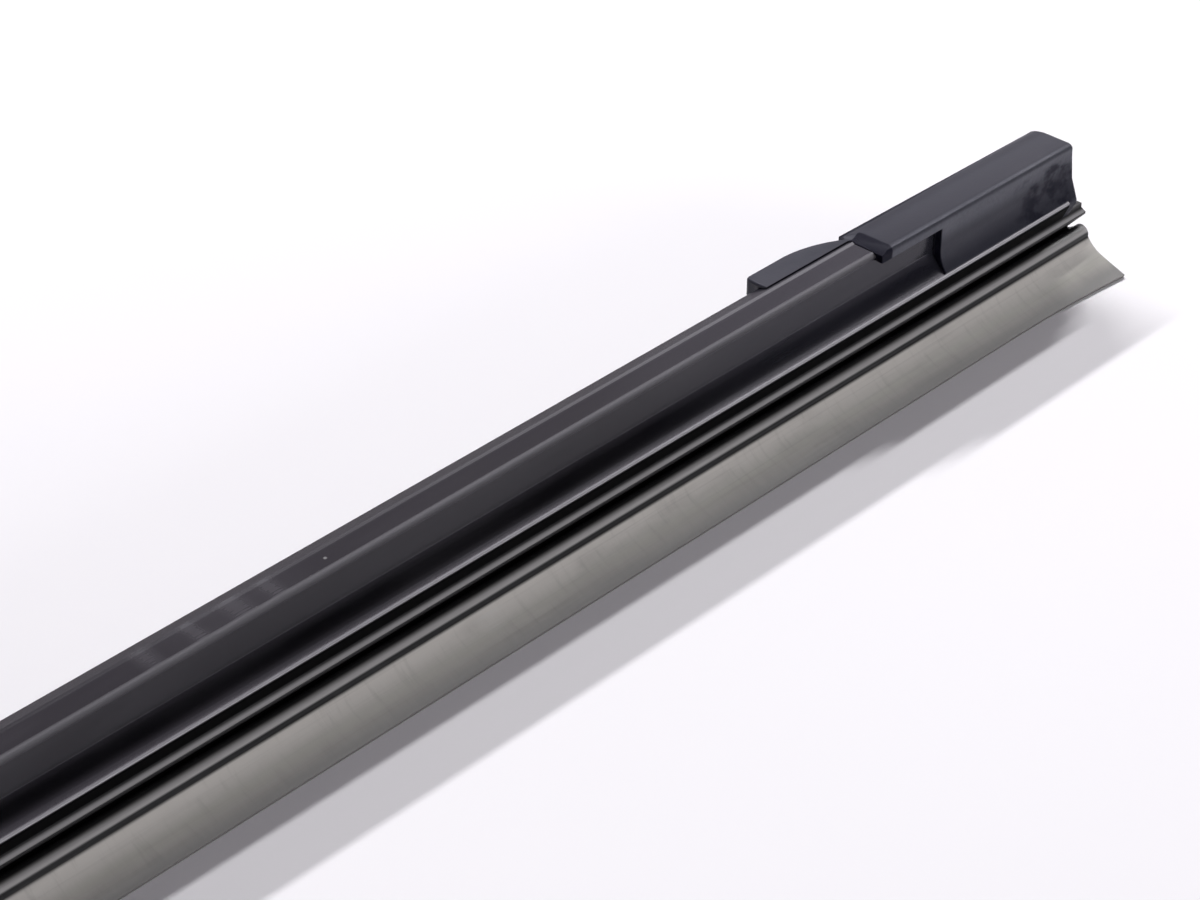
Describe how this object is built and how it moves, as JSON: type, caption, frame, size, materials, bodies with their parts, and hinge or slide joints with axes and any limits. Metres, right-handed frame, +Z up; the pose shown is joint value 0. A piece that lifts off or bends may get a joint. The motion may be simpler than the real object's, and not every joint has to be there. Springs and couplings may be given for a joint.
{
  "type": "wiper blade",
  "caption": "Flat windscreen wiper blade: rubber lip folded to one side, spring rails, two-part spoiler, end caps and a centre connector with a pivot bore.",
  "frame": {"origin": "centre of the pivot bore in the connector", "axes": "+X along the blade, +Y along the pivot bore and away from the side the lip is folded to, +Z up from lip to crest"},
  "size_m": [0.5, 0.0182, 0.0243],
  "materials": {
    "wiper_rubber": "matt, greyed by a dry coating on the lip",
    "flexor": "dark spring steel",
    "spoiler": "satin black",
    "end_cap": "fine grained matt black",
    "connector_base": "black coated die casting",
    "connector_cover": "fine grained matt black",
    "pivot_bush": "plain dark grey"
  },
  "bodies": {
    "root": {"wiper_rubber": "wiper_rubber", "flexor_front": "flexor", "flexor_rear": "flexor", "spoiler_left": "spoiler", "spoiler_right": "spoiler", "end_cap_left": "end_cap", "end_cap_right": "end_cap", "connector_base": "connector_base", "connector_cover": "connector_cover", "pivot_bush": "pivot_bush"}
  },
  "joints": []
}
